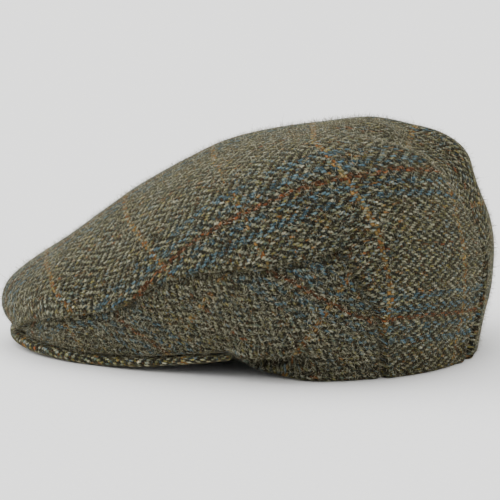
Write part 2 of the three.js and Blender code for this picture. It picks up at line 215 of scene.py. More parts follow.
# level, width as a share of CROWN_HALF, depth as a share of PINCH_DEPTH
PINCH = [(0.34, 0.06, 0), (0.45, 0.09, 0.18), (0.55, 0.13, 0.5), (0.66, 0.19, 0.85), (0.76, 0.24, 1),
         (0.86, 0.27, 0.75), (0.94, 0.27, 0.2), (1, 0.27, 0)]
PINCH_DEPTH = 10
TUCK_DEPTH = 2.5
TUCK_ANGLE = 79


def smooth(x):
    x = np.clip(x, 0, 1)
    return x * x * (3 - 2 * x)


def read_table(rows, x, column=1, key=0):
    """A table's column at x, on one smooth curve through its rows."""
    xs = np.array([row[key] for row in rows], float)
    ys = np.array([row[column] for row in rows], float)
    rise = np.diff(ys) / np.diff(xs)
    both = rise[:-1] * rise[1:]
    total = np.where(both > 0, rise[:-1] + rise[1:], 1)
    tangent = np.concatenate([rise[:1], np.where(both > 0, 2 * both / total, 0), rise[-1:]])
    x = np.clip(x, xs[0], xs[-1])
    i = np.clip(np.searchsorted(xs, x, side="right") - 1, 0, len(xs) - 2)
    span = xs[i + 1] - xs[i]
    u = (x - xs[i]) / span
    step = ys[i + 1] - ys[i]
    bend = (tangent[i] * (1 - u) - tangent[i + 1] * u) * span + step * (2 * u - 1)
    return ys[i] + step * u + u * (1 - u) * bend


def from_back(angle):
    return np.abs((angle + 180) % 360 - 180)


def oval(angle, back, front, half, boxy_back, boxy_front):
    """Distance from the middle to a rounded outline along a ray."""
    c, s = np.cos(np.radians(angle)), np.sin(np.radians(angle))
    boxy = boxy_front + (boxy_back - boxy_front) * 0.5 * (1 + np.tanh(2.2 * c) / math.tanh(2.2))
    reach = np.where(c > 0, back, front)
    return (np.abs(c / reach) ** boxy + np.abs(s / half) ** boxy) ** (-1 / boxy)


def rim_radius(angle):
    return oval(angle, RIM_BACK, RIM_FRONT, RIM_HALF, *RIM_BOXY)


def peak_radius(angle):
    return oval(angle, RIM_BACK, PEAK_FRONT, PEAK_HALF, *RIM_BOXY)


def peak_under(angle, inward):
    return PEAK_RISE * read_table(PEAK_EDGE, from_back(angle), 1) + PEAK_SLOPE * inward


def peak_top(angle, inward):
    return peak_under(angle, inward) + PEAK_THICKNESS * read_table(PEAK_EDGE, from_back(angle), 2)


def on_peak(angle):
    return peak_top(angle, peak_radius(angle) - rim_radius(angle) + HEM) + SEAM_GAP


def rim_height(angle):
    """Height of the crown's lower edge: on the table at the back, on the peak at the front."""
    turn = from_back(angle)
    low = PEAK_RISE * read_table(HEM_RISE, turn)
    start = PEAK_RISE * HEM_END_RISE
    share = (turn - HEM_END) / (TEMPLE_ANGLE - HEM_END)
    step = start + (on_peak(np.array(TEMPLE_ANGLE)) - start) * share
    return np.where(turn >= TEMPLE_ANGLE, on_peak(turn), np.where(turn <= HEM_END, low, step))


def ring_point(index, angle):
    """Points of one ring. Ring 0 is the hem, and the ring past the last is the top itself."""
    c, s = np.cos(np.radians(angle)), np.sin(np.radians(angle))
    if index == 0:
        return np.stack([rim_radius(angle) * c, rim_radius(angle) * s, rim_height(angle)], -1)
    if index > len(RINGS):
        return np.stack([TOP_CENTRE * CROWN_BACK + 0 * c, 0 * c, CROWN_HEIGHT + 0 * c], -1)
    middle, back, front, half, boxy_back, boxy_front, z_back, z_side, z_front, lift = RINGS[index - 1]
    x = middle * CROWN_BACK
    r = oval(angle, back * CROWN_BACK - x, front * CROWN_NOSE + x, half * CROWN_HALF, boxy_back, boxy_front)
    even = (z_back + 2 * z_side + z_front) / 4
    saddle = (z_back - 2 * z_side + z_front) / 4
    z = even + (z_back - z_front) / 2 * c + saddle * np.cos(2 * np.radians(angle))
    return np.stack([x + r * c, r * s, CROWN_HEIGHT * z + lift * rim_height(angle)], -1)


def crown_base(angle, level):
    """The crown's outer face before it is pinched: a smooth curve up through the rings on each ray."""
    angle, level = np.broadcast_arrays(np.asarray(angle, float), np.asarray(level, float))
    rings = [ring_point(k, angle) for k in range(len(RINGS) + 2)]
    rings = np.stack([2 * rings[0] - rings[1]] + rings + [ring_point(len(RINGS), angle + 180)], 0)
    count = len(RINGS) + 1
    place = np.clip(level, 0, 1) * count
    i = np.clip(np.floor(place).astype(int), 0, count - 1)
    u = (place - i)[..., None]
    a, b, c, d = [np.take_along_axis(rings, (i + k)[None, ..., None], 0)[0] for k in range(4)]
    return 0.5 * (2 * b + (c - a) * u + (2 * a - 5 * b + 4 * c - d) * u ** 2
                  + (3 * b - a - 3 * c + d) * u ** 3)


def unit(v):
    return v / np.maximum(np.linalg.norm(v, axis=-1, keepdims=True), 1e-9)


def normal_of(surface, angle, level):
    level = np.minimum(level, 0.985)
    low = np.maximum(0, level - 0.004)
    around = surface(angle + 0.4, level) - surface(angle - 0.4, level)
    return unit(np.cross(around, surface(angle, level + 0.004) - surface(angle, low)))


def swell(distance, reach):
    """A bump that is 1 in the middle and dies away over its reach."""
    return np.exp(-(distance / reach) ** 2)


def at_back(angle):
    """1 round the back of the crown, and 0 towards its sides."""
    return smooth((np.cos(np.radians(angle)) - 0.1) / 0.5)


def crown_soft(angle, level):
    """The crown's outer face with the hollow between its two lobes and the tuck behind the peak."""
    point = crown_base(angle, level)
    width = CROWN_HALF * read_table(PINCH, level, 1)
    pinch = read_table(PINCH, level, 2) * swell(point[..., 1], width) * at_back(angle)
    tuck = swell(from_back(angle) - TUCK_ANGLE, 9) * (1 - smooth(level / 0.1))
    depth = PINCH_DEPTH * pinch + TUCK_DEPTH * tuck
    return point - depth[..., None] * normal_of(crown_base, angle, level)


LINE_HOLD = 4  # how much a check line holds its points, against the stiffness of the cloth


def lay_flat(place, angle, level, ids, check_lines, turns=60):
    """Lays a sewn panel out as the flat cloth it was cut from, stretched as little as the woven lines
    allow. place is a grid of points, ids its vertex numbers. A check line is a yarn seen on the cap:
    'along' lines run with the ribs at one distance across, 'across' lines at one distance along."""
    count = ids.max() + 1
    points = np.zeros((count, 3))
    points[ids] = place
    corners = (np.s_[:-1, :-1], np.s_[1:, :-1], np.s_[1:, 1:], np.s_[:-1, 1:])
    corner = [ids[s].ravel() for s in corners]
    spot = [np.stack([angle[s].ravel(), level[s].ravel()], 1) for s in corners]
    whole_faces, spots = [
        np.concatenate([np.stack([of[k] for k in pick], 1) for pick in ((0, 1, 2), (0, 2, 3))])
        for of in (corner, spot)]
    a, b, c = whole_faces.T
    faces = whole_faces[(a != b) & (b != c) & (c != a)]
    # each face laid flat by itself, and how much each of its edges holds out against stretching
    edge = [points[faces[:, (k + 2) % 3]] - points[faces[:, (k + 1) % 3]] for k in range(3)]
    x = unit(edge[2])
    y = np.cross(unit(np.cross(edge[2], -edge[1])), x)
    local = [(e * x).sum(1) + 1j * (e * y).sum(1) for e in edge]
    area = np.maximum(np.linalg.norm(np.cross(edge[0], edge[1]), axis=1), 1e-9)
    weight = [np.clip(-(edge[(k + 1) % 3] * edge[(k + 2) % 3]).sum(1) / area, 0.02, 20) for k in range(3)]
    stiff = np.zeros((count, count))
    ends = [(faces[:, (k + 1) % 3], faces[:, (k + 2) % 3]) for k in range(3)]
    for (i, j), w in zip(ends, weight):
        np.add.at(stiff, (i, i), w)
        np.add.at(stiff, (j, j), w)
        np.add.at(stiff, (i, j), -w)
        np.add.at(stiff, (j, i), -w)
    # each check line holds the points on it at one distance, or level where its distance isn't known
    solved, wanted = [], []
    for kind in ("across", "along"):
        rows, values = [], []
        for line_kind, value, line in check_lines:
            if line_kind != kind:
                continue
            steps = np.linspace(0, len(line) - 1, 4 * len(line) - 3)
            at = np.stack([np.interp(steps, range(len(line)), [p[c] for p in line]) for c in (0, 1)], 1)
            own = []
            for p in at:
                a, b, c = spots[:, 0], spots[:, 1], spots[:, 2]
                whole = (b[:, 0] - a[:, 0]) * (c[:, 1] - a[:, 1]) - (c[:, 0] - a[:, 0]) * (b[:, 1] - a[:, 1])
                whole = np.where(np.abs(whole) < 1e-12, 1e-12, whole)
                wb = ((p[0] - a[:, 0]) * (c[:, 1] - a[:, 1]) - (c[:, 0] - a[:, 0]) * (p[1] - a[:, 1])) / whole
                wc = ((b[:, 0] - a[:, 0]) * (p[1] - a[:, 1]) - (p[0] - a[:, 0]) * (b[:, 1] - a[:, 1])) / whole
                best = np.argmax(np.minimum(np.minimum(1 - wb - wc, wb), wc))
                row = np.zeros(count)
                np.add.at(row, whole_faces[best], [1 - wb[best] - wc[best], wb[best], wc[best]])
                own.append(row)
            own = np.array(own)
            if value is None:
                own = own - own.mean(0)
            rows.append(own)
            values.append(np.full(len(own), 0.0 if value is None else value))
        rows, values = np.concatenate(rows), np.concatenate(values)
        solved.append(np.linalg.inv(stiff + LINE_HOLD * rows.T @ rows))
        wanted.append(LINE_HOLD * rows.T @ values)
    # starts from a fan round the top, and then turns the faces and moves their corners by turns
    lengths = np.linalg.norm(np.diff(place, axis=1), axis=2)
    reach = np.concatenate([np.cumsum(lengths[:, ::-1], 1)[:, ::-1], np.zeros((len(place), 1))], 1)
    flat = np.zeros(count, complex)
    flat[ids] = reach * np.exp(1j * np.radians(10 + angle * 340 / 360))
    for _ in range(turns):
        spin = sum(w * np.conj(e) * (flat[j] - flat[i]) for (i, j), w, e in zip(ends, weight, local))
        spin = spin / np.maximum(np.abs(spin), 1e-9)
        pull = np.zeros(count, complex)
        for (i, j), w, e in zip(ends, weight, local):
            np.add.at(pull, j, w * spin * e)
            np.add.at(pull, i, -w * spin * e)
        flat = solved[0] @ (pull.real + wanted[0]) + 1j * (solved[1] @ (pull.imag + wanted[1]))
    return flat[ids]


def between(grid, column, row):
    """A grid's values between its columns and rows, on smooth curves. column and row are 1-D."""
    def along_first(g, at):
        i = np.clip(np.floor(at).astype(int), 0, len(g) - 2)
        u = (at - i)[:, None]
        padded = np.concatenate([2 * g[:1] - g[1:2], g, 2 * g[-1:] - g[-2:-1]])
        a, b, c, d = [padded[i + k] for k in range(4)]
        return 0.5 * (2 * b + (c - a) * u + (2 * a - 5 * b + 4 * c - d) * u ** 2
                      + (3 * b - a - 3 * c + d) * u ** 3)
    return along_first(along_first(grid, column).T, row).T


def lumps(points, size, seed):
    """Smooth random values from -1 to 1 that change over about size mm."""
    table = np.random.RandomState(seed).uniform(-1, 1, (32, 32, 32))
    place = points / size + 500
    cell = np.floor(place).astype(int)
    f = smooth(place - cell)
    total = 0
    for corner in range(8):
        bit = np.array([corner & 1, corner >> 1 & 1, corner >> 2 & 1])
        share = np.where(bit, f, 1 - f).prod(-1)
        c = (cell + bit) % 32
        total = total + share * table[c[..., 0], c[..., 1], c[..., 2]]
    return total


SUBDIVIDE = 5
LAY_COUNTS = (10, 8, 22, 6)  # columns of the coarse layout along the back hem, rear seam, side seam, front
LAY_ROWS = 20
TAILS_JOIN = 0.62  # level above which the two tails are one cloth, where the centre back seam ends


def panel_edge(step):
    """The top panel's edge as (angle, level), all the way round, with step columns for each coarse one."""
    back, rear, side, front = [n * step for n in LAY_COUNTS]
    half = [(a, 0.0) for a in np.linspace(0, REAR_FOOT, back + 1)[:-1]]
    half += [(float(read_table(REAR_SEAM, v, 0, 1)), v) for v in np.linspace(0, CORNER_LEVEL, rear + 1)[:-1]]
    half += [(a, float(read_table(SIDE_SEAM, a))) for a in np.linspace(REAR_CORNER, FRONT_TIP, side)]
    half += [(a, 0.0) for a in np.linspace(TIP_ANGLE, 180, front + 1)]
    half = np.array(half)
    other = half[::-1][1:].copy()
    other[:, 0] = 360 - other[:, 0]
    return np.concatenate([half, other])


# Yarns of the check as they lie on the cap's left side, as (angle, level) from the back.
TOP_CHECK = [
    ("along", 0, [(123.5, 0.305), (118, 0.38), (111.5, 0.475), (106, 0.515), (94.5, 0.555), (83.5, 0.585),
                  (73, 0.62), (59, 0.645), (42, 0.655), (22, 0.665), (15, 0.655)]),
    ("along", -85, [(43, 0.275), (26, 0.265), (5, 0.24)]),
    ("along", None, [(148, 0.3), (143, 0.4), (138.5, 0.475), (134, 0.52), (131, 0.58)]),
    ("across", 0, [(159, 0.515), (150, 0.465), (142.5, 0.33)]),
    ("across", 56, [(153.5, 0.675), (130, 0.59), (116.5, 0.48), (110, 0.415)]),
    ("across", 168, [(103, 0.88), (70, 0.74), (57.5, 0.65), (49, 0.56), (44.5, 0.5), (42.5, 0.44),
                     (41, 0.375), (39.5, 0.345)]),
    ("across", 224, [(13, 0.65), (13.5, 0.58), (14.5, 0.51), (14.5, 0.41)]),
]
TOP_CHECK = [(kind, value, [(360 - a, v) for a, v in line]) for kind, value, line in TOP_CHECK]


SEAM_POINT_EVERY = 0.4


def seam_curve(side):
    """Points at an even distance along the sewn seam of one side panel, and how far along each is."""
    levels = np.linspace(0, CORNER_LEVEL, 400)
    angles = np.linspace(REAR_CORNER, FRONT_TIP, 900)
    tip = np.linspace(TIP_LEVEL, 0, 20)
    stops = np.concatenate([
        np.stack([read_table(REAR_SEAM, levels, 0, 1), levels], 1),
        np.stack([angles, read_table(SIDE_SEAM, angles)], 1),
        np.stack([np.interp(tip, [0, TIP_LEVEL], [TIP_ANGLE, FRONT_TIP]), tip], 1)])
    points = crown_soft(side * stops[:, 0], stops[:, 1])
    along = np.concatenate([[0], np.cumsum(np.linalg.norm(np.diff(points, axis=0), axis=1))])
    even = np.arange(0, along[-1], SEAM_POINT_EVERY)
    return np.stack([np.interp(even, along, points[:, c]) for c in range(3)], 1), even


seam_points, seam_along = [np.concatenate(pair) for pair in zip(seam_curve(-1), seam_curve(1))]
seam_finder = kdtree.KDTree(len(seam_points))
for number, spot in enumerate(seam_points):
    seam_finder.insert(spot, number)
seam_finder.balance()


def seam_near(points):
    """Distance to the nearest sewn seam of a side panel, and how far along it that is."""
    found = [seam_finder.find(p) for p in points.reshape(-1, 3)]
    distance = np.array([f[2] for f in found]).reshape(points.shape[:-1])
    number = np.array([f[1] for f in found]).reshape(points.shape[:-1])
    return distance, seam_along[number] + 1000 * (number >= len(seam_points) // 2)


# Where the worn cloth has risen or settled: angle, level, rise in mm, reach in mm. Minus is the left.
SETTLED = [(-170, 0.48, 1.2, 22), (-172, 0.79, -1.2, 18), (54, 0.8, -2.0, 18), (24, 0.66, 1.8, 9),
           (20, 0.55, -1.0, 12), (-165, 0.06, 2.2, 13), (165, 0.06, 2.0, 13)]
SEAM_SINK = 3.6  # how deep the cloth dives into a sewn seam
BACK_SEAM_SINK = 6.5
BACK_SEAM_WIDTH = 2.4
BACK_SEAM_LEAN = 8.5  # how far left the centre back seam lies at the hem
CORNER_SETTLED = [(49, 0.37, -1.9, 3.5), (53, 0.42, 1.0, 4.0), (62, 0.45, 0.9, 5.0)]
CREASE_DEPTH = 13.0
# angle, level of the crease behind the end of the peak
CREASE_LEVEL = [(60, 0.155), (66, 0.15), (72, 0.13), (78, 0.115), (84, 0.085), (88, 0.05), (90, 0.03)]
# angle, depth as a share of CREASE_DEPTH
CREASE_SHARE = [(58, 0), (64, 0.45), (70, 1), (86, 1), (90, 0.4), (92, 0)]


def settled_at(points, angle, level, rise, reach):
    """How far one spot of risen or settled cloth moves the points near it."""
    spot = crown_soft(np.array(angle * 1.0), np.array(level))
    return rise * swell(np.linalg.norm(points - spot, axis=-1), reach)


def corner_folds(points, side):
    """Small folds that radiate from the rear corner of a side panel, where the top is eased in."""
    offset = points - crown_soft(np.array(side * float(REAR_CORNER)), np.array(CORNER_LEVEL))
    upward = unit(np.array([0.25, 0.0, 1.0]))
    backward = unit(np.cross(upward, [0, -side, 0]))
    x, z = offset @ backward, offset @ upward
    away = np.hypot(x, z)
    fold = 1.2 * np.cos(5 * np.arctan2(z, x) + 0.8) * swell(away, 15) * smooth(away / 5)
    # a dimple at the corner itself and one lower down the rear seam, with a puff between them
    fold -= 1.8 * swell(away, 3.5)
    for angle, level, rise, reach in CORNER_SETTLED:
        fold += settled_at(points, side * angle, level, rise, reach)
    return fold


def cloth_faces(angle, level, on_top):
    """The outer and inner face of the cloth, with its seams, puckers, folds and slight unevenness."""
    base = crown_soft(angle, level)
    # the wall is built level with the table at the hem, and square to the cloth above it
    direction = normal_of(crown_soft, angle, level)
    direction[..., 2] *= smooth(level / 0.06)
    direction = unit(direction)
    near, along = seam_near(base)
    turn = from_back(angle)
    seam_noise = lumps(np.stack([along / 7, near / 14, 0 * near], -1), 1, 3)
    fine_noise = lumps(np.stack([along / 3.1, near / 6, 0 * near + 9], -1), 1, 4)
    # the seam allowance is pressed up into the top panel, whose edge stands proud of the side panel
    seam_width, puff = (1.5, 1.3) if on_top else (2.3, 0.7)
    out = -SEAM_SINK * swell(near, seam_width)
    out += puff * swell(near - 4.0, 2.6)
    out += (0.75 * seam_noise + 0.3 * fine_noise) * swell(near, 7) * smooth(near / 1.5)
    # the centre back seam, from the hem to the hollow between the lobes, which leans as the cap lies
    lean = BACK_SEAM_LEAN * np.clip(1 - level / 0.5, 0, 1)
    on_back = np.where(turn < 60, np.abs(base[..., 1] + lean), 99)
    back_reach = 1 - 0.7 * smooth((level - 0.34) / 0.12) - 0.3 * smooth((level - 0.46) / 0.2)
    back_noise = lumps(np.stack([base[..., 2] / 6, on_back / 12, 0 * near + 3], -1), 1, 5)
    out += back_reach * (-BACK_SEAM_SINK * swell(on_back, BACK_SEAM_WIDTH) + 1.4 * swell(on_back - 5.5, 2.8)
                         + 0.45 * back_noise * swell(on_back, 9))
    # the hollow between the lobes has a fairly sharp rim
    lobe = np.abs(base[..., 1]) / (CROWN_HALF * read_table(PINCH, level, 1))
    hollow = read_table(PINCH, level, 2) * at_back(angle)
    out += hollow * (-3.2 * np.exp(-lobe ** 4) + 1.6 * swell(lobe - 1.35, 0.28))
    for spot in SETTLED:
        out += settled_at(base, *spot)
    # cloth never lies quite even
    out += 0.9 * lumps(base, 38, 11) + 0.35 * lumps(base, 17, 12)
    # the front edge of the crown is turned in where it is sewn to the peak
    edge_height = level * CROWN_HEIGHT * 1.6
    front = smooth((turn - 92) / 4)
    out += front * (-1.6 * swell(edge_height, 1.8) + 0.4 * swell(edge_height - 5, 3))
    for side in (-1, 1):
        out += np.where(np.sign(base[..., 1]) == side, corner_folds(base, side), 0)
    # the crease behind the end of the peak: the side hangs over a hem that is drawn in
    crease_at = np.interp(turn, *zip(*CREASE_LEVEL))
    crease = np.interp(turn, *zip(*CREASE_SHARE))
    below = (crease_at - level) / crease_at
    tucked = -CREASE_DEPTH * crease * smooth(below / 0.12) * (1 - 0.75 * smooth((below - 0.5) / 0.5))
    out += 3.0 * crease * swell(level - crease_at - 0.016, 0.026)
    wall = HEM + (CLOTH - HEM) * smooth(level * CROWN_HEIGHT / HEM_HEIGHT)
    outer = base + direction * (out + tucked)[..., None]
    depth = tucked + np.minimum(0, 0.5 * out + 0.3) - wall - 0.4 * swell(near, 3)
    return outer, base + direction * depth[..., None]


FOLD_ROUND = 1.5


def round_edge(outer, inner, is_hem):
    """Rounds the fold at the first row: both faces turn in to meet half way, over FOLD_ROUND."""
    wall = np.linalg.norm(outer - inner, axis=-1, keepdims=True)
    inward = unit(inner - outer)
    for face, sign in ((outer, 1), (inner, -1)):
        steps = np.linalg.norm(np.diff(face, axis=1), axis=2)
        reach = np.concatenate([np.zeros((len(face), 1)), np.cumsum(steps, 1)], 1)[..., None]
        near = np.clip(1 - reach / FOLD_ROUND, 0, 1)
        shift = wall / 2 * (1 - np.sqrt(1 - near ** 2))
        face += sign * inward * np.where(is_hem[:, None, None], shift, 0)


def grid_mesh(name, ids, flat, points):
    """A mesh from a grid of vertex numbers, its flat cloth places in mm and its points in mm. Each face
    turns its front to the side from which columns run left to right when rows run down."""
    a, b, c, d = ids[:-1, :-1], ids[:-1, 1:], ids[1:, 1:], ids[1:, :-1]
    fa, fb, fc, fd = flat[:-1, :-1], flat[:-1, 1:], flat[1:, 1:], flat[1:, :-1]
    quads = np.stack([a, b, c, d], -1).reshape(-1, 4)
    cloth = np.stack([fa, fb, fc, fd], -1).reshape(-1, 4)
    faces, places = [], []
    for numbers, spots in zip(quads.tolist(), cloth):
        keep = [k for k in range(4) if numbers[k] != numbers[k - 1]]
        if len(keep) > 2:
            faces.append([numbers[k] for k in keep])
            places.extend(spots[k] for k in keep)
    mesh = bpy.data.meshes.new(name)
    mesh.from_pydata((points / 1000).tolist(), [], faces)
    places = np.array(places)
    layer = mesh.uv_layers.new(name="cloth")
    layer.data.foreach_set("uv", np.stack([places.real, places.imag], 1).ravel() / 100)
    close_ends(mesh)
    mesh.polygons.foreach_set("use_smooth", [True] * len(mesh.polygons))
    mesh.update()
    return mesh


def close_ends(mesh):
    """Closes the narrow open ends of a piece of cloth, between its outer and inner face."""
    shape = bmesh.new()
    shape.from_mesh(mesh)
    cloth = shape.loops.layers.uv["cloth"]
    open_edges = [edge for edge in shape.edges if edge.is_boundary]
    if open_edges:
        caps = bmesh.ops.holes_fill(shape, edges=open_edges, sides=0)["faces"]
        caps = bmesh.ops.triangulate(shape, faces=caps)["faces"]
        for cap in caps:
            for corner in cap.loops:
                for other in corner.vert.link_loops:
                    if other.face not in caps:
                        corner[cloth].uv = other[cloth].uv
        bmesh.ops.recalc_face_normals(shape, faces=shape.faces[:])
        shape.to_mesh(mesh)
    shape.free()


def place_piece(name, mesh, material, slot, *nodes):
    """Puts a finished mesh in the scene as a piece that rides on the cap and stands for its CAD nodes."""
    mesh.materials.append(material)
    piece = bpy.data.objects.new(name, mesh)
    bpy.context.scene.collection.objects.link(piece)
    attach(piece, "root")
    if nodes:
        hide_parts(*nodes)


# Herringbone tweed: a 2/2 twill of thick carded wool, four ends to a rib. The warp is a heather of olive,
# straw and grey and the weft nearly black, with a check of blue and rust ends and ochre picks. No two
# floats have quite the same colour, and loose fibres blur their edges.
END = 1.25  # width of one warp yarn
PICK = 1.514  # width of one weft yarn
CHECK_ENDS = 68  # from one blue and rust band to the next
CHECK_PICKS = 37  # from one pair of ochre picks to the next
TWEED_LIGHT = 0.62  # share of light that the whole cloth returns, against the wools below
# the wools that each yarn is spun from, and the share of the yarn at which each begins
WARP_WOOL = [(0.0, "54655c"), (0.09, "44453b"), (0.17, "6c6c49"), (0.34, "82816a"), (0.54, "96957c"),
             (0.66, "857b42"), (0.75, "a6a58f"), (0.84, "63757c"), (0.94, "80582e")]
WEFT_WOOL = [(0.0, "1b1a16"), (0.3, "2a261f"), (0.48, "22292b"), (0.6, "3b3224"), (0.72, "504e3b"),
             (0.84, "5a371c"), (0.9, "3c4e56"), (0.95, "6d6234")]
BLUE_WOOL = [(0.0, "38525e"), (0.25, "4b6a79"), (0.6, "5f7d87"), (0.85, "6c7b70")]
RUST_WOOL = [(0.0, "56301f"), (0.2, "783f22"), (0.62, "8b5530"), (0.82, "746447")]
OCHRE_WOOL = [(0.0, "84582c"), (0.3, "9a723a"), (0.6, "a4874e"), (0.85, "8e5a2f")]
tweed, wool = painted("herringbone_tweed")


def yarn_at(place, width):
    """Yarns of one width up to a place: how many, the number of the one there and the share across it."""
    count = node(wool, "Math DIVIDE", place, width)
    number = node(wool, "Math FLOOR", count)
    return count, number, node(wool, "Math SUBTRACT", count, number)


def float_top(share_across, run):
    """The height of a rounded float of yarn. run goes from -1 to 1 along it."""
    across = node(wool, "Math MULTIPLY_ADD", share_across, 2.0, -1.0)
    bow = node(wool, "Math SUBTRACT", 1.0, node(wool, "Math MULTIPLY", across, across))
    bow = node(wool, "Math POWER", bow, 0.7)
    dip = node(wool, "Math POWER", node(wool, "Math ABSOLUTE", run), 2.5)
    return node(wool, "Math MULTIPLY", bow, node(wool, "Math SUBTRACT", 1.0, dip))


in_mm = node(wool, "VectorMath MULTIPLY", node(wool, "UVMap", uv_map="cloth"), (100, 100, 100))
# the yarns wander by half a millimetre, and their edges are ragged
bent = in_mm
for lump_scale, reach in ((0.09, 1.6), (0.35, 1.1), (1.1, 1.1)):
    wander = node(wool, "TexNoise", {"Vector": in_mm, "Scale": lump_scale, "Detail": 1, "Roughness": 0.6},
                  out=1)
    wander = node(wool, "VectorMath SUBTRACT", wander, (0.5, 0.5, 0.5))
    wander = node(wool, "VectorMath MULTIPLY", wander, (reach, reach, 0))
    bent = node(wool, "VectorMath ADD", bent, wander)
along_cloth, across_cloth = node(wool, "SeparateXYZ", bent, out=None).outputs[:2]
end, in_end = yarn_at(across_cloth, END)[1:]
along_picks, pick, in_pick = yarn_at(along_cloth, PICK)
# which of the loom's four shafts the end is on: 0 1 2 3, then back as 1 0 3 2
of_eight = node(wool, "Math FLOORED_MODULO", end, 8.0)
rising = node(wool, "Math LESS_THAN", of_eight, 3.5)
turned = node(wool, "Math FLOORED_MODULO", node(wool, "Math SUBTRACT", 5.0, of_eight), 4.0)
raised = node(wool, "Math ADD", along_picks, node(wool, "Mix", {0: rising, 2: turned, 3: of_eight}))
phase = node(wool, "Math FLOORED_MODULO", raised, 4.0)
step_of = node(wool, "Math FLOOR", phase)
warp_up = node(wool, "Math LESS_THAN", phase, 2.0)
# rounded tops of the warp floats, two picks long, and of the weft floats, two ends long
warp_top = float_top(in_end, node(wool, "Math SUBTRACT", phase, 1.0))
up_run = node(wool, "Math SUBTRACT", node(wool, "Math ADD", step_of, in_end), 3.0)
down_run = node(wool, "Math ADD", node(wool, "Math SUBTRACT", 3.0, step_of), in_end)
down_run = node(wool, "Math SUBTRACT", down_run, 1.0)
weft_top = float_top(in_pick, node(wool, "Mix", {0: rising, 2: down_run, 3: up_run}))
weft_top = node(wool, "Math MULTIPLY", weft_top, 0.7)
relief = node(wool, "Math MAXIMUM", node(wool, "Mix", {0: warp_up, 2: weft_top, 3: warp_top}), 0.0)

# every float has its own colour and brightness
float_row, rib = [node(wool, "Math FLOOR", node(wool, "Math DIVIDE", count, 4.0)) for count in (raised, end)]
float_yarn = node(wool, "Mix", {0: warp_up, 2: pick, 3: end})
float_block = node(wool, "Math ADD", rib, node(wool, "Math MULTIPLY", warp_up, 900.0))
float_key = node(wool, "CombineXYZ", float_row, float_yarn, float_block)
dice = node(wool, "TexWhiteNoise", float_key, out=1, noise_dimensions="3D")
colour_roll, tone_roll, band_roll = node(wool, "SeparateColor", dice, out=None).outputs
# and changes colour within its length, where the wool was poorly mixed, in tufts of 1 mm
tuft_key = node(wool, "VectorMath ADD", node(wool, "VectorMath FLOOR", bent), float_key)
tuft = node(wool, "TexWhiteNoise", tuft_key, noise_dimensions="3D")
mixing = node(wool, "TexNoise", {"Vector": in_mm, "Scale": 0.8, "Detail": 2, "Roughness": 0.7})
choice = node(wool, "Mix", {0: node(wool, "Math GREATER_THAN", mixing, 0.5), 2: colour_roll, 3: tuft})
warp_colour, weft_colour, blue, rust, ochre = [
    node(wool, "ValToRGB", roll, stops=("CONSTANT", wools)) for roll, wools in (
        (choice, WARP_WOOL), (choice, WEFT_WOOL), (choice, BLUE_WOOL), (choice, RUST_WOOL),
        (colour_roll, OCHRE_WOOL))]

# the check: how far in mm an end lies from the middle of the nearest band
from_band = node(wool, "Math WRAP", node(wool, "Math ADD", end, 0.5), CHECK_ENDS / 2, -CHECK_ENDS / 2)
from_band = node(wool, "Math MULTIPLY", node(wool, "Math ABSOLUTE", from_band), END)
is_rust = node(wool, "Math LESS_THAN", from_band, 1.3)
is_blue = node(wool, "Math ADD", *[node(wool, "Math COMPARE", from_band, at, 1.6) for at in (5.5, 13.0)])
is_blue = node(wool, "Math MULTIPLY", is_blue, node(wool, "Math LESS_THAN", band_roll, 0.74))
# a faint rust line runs half way between two bands
is_faint = node(wool, "Math MULTIPLY", node(wool, "Math GREATER_THAN", from_band, 41.3),
                node(wool, "Math LESS_THAN", band_roll, 0.4))
for share, colour in ((is_blue, blue), (node(wool, "Math MAXIMUM", is_rust, is_faint), rust)):
    warp_colour = node(wool, "Mix", {0: share, 6: warp_colour, 7: colour}, out=2, data_type="RGBA")
# ochre picks lie in pairs, every third pair faint
pick_count = node(wool, "Math ADD", pick, 1.0)
pick_in_check = node(wool, "Math FLOORED_MODULO", pick_count, CHECK_PICKS)
check_number = node(wool, "Math FLOOR", node(wool, "Math DIVIDE", pick_count, CHECK_PICKS))
is_third = node(wool, "Math COMPARE", node(wool, "Math FLOORED_MODULO", check_number, 3.0), 2.0, 0.1)
is_ochre = node(wool, "Math LESS_THAN", band_roll, node(wool, "Math MULTIPLY_ADD", is_third, -0.6, 1.1))
is_ochre = node(wool, "Math MULTIPLY", node(wool, "Math LESS_THAN", pick_in_check, 1.5), is_ochre)
rust_weft, blue_weft = [node(wool, "Math MULTIPLY", band, node(wool, "Math LESS_THAN", tone_roll, share))
                        for band, share in ((is_rust, 0.4), (is_blue, 0.25))]
for share, colour in ((rust_weft, rust), (blue_weft, blue), (is_ochre, ochre)):
    weft_colour = node(wool, "Mix", {0: share, 6: weft_colour, 7: colour}, out=2, data_type="RGBA")
yarn_colour = node(wool, "Mix", {0: warp_up, 6: weft_colour, 7: warp_colour}, out=2, data_type="RGBA")

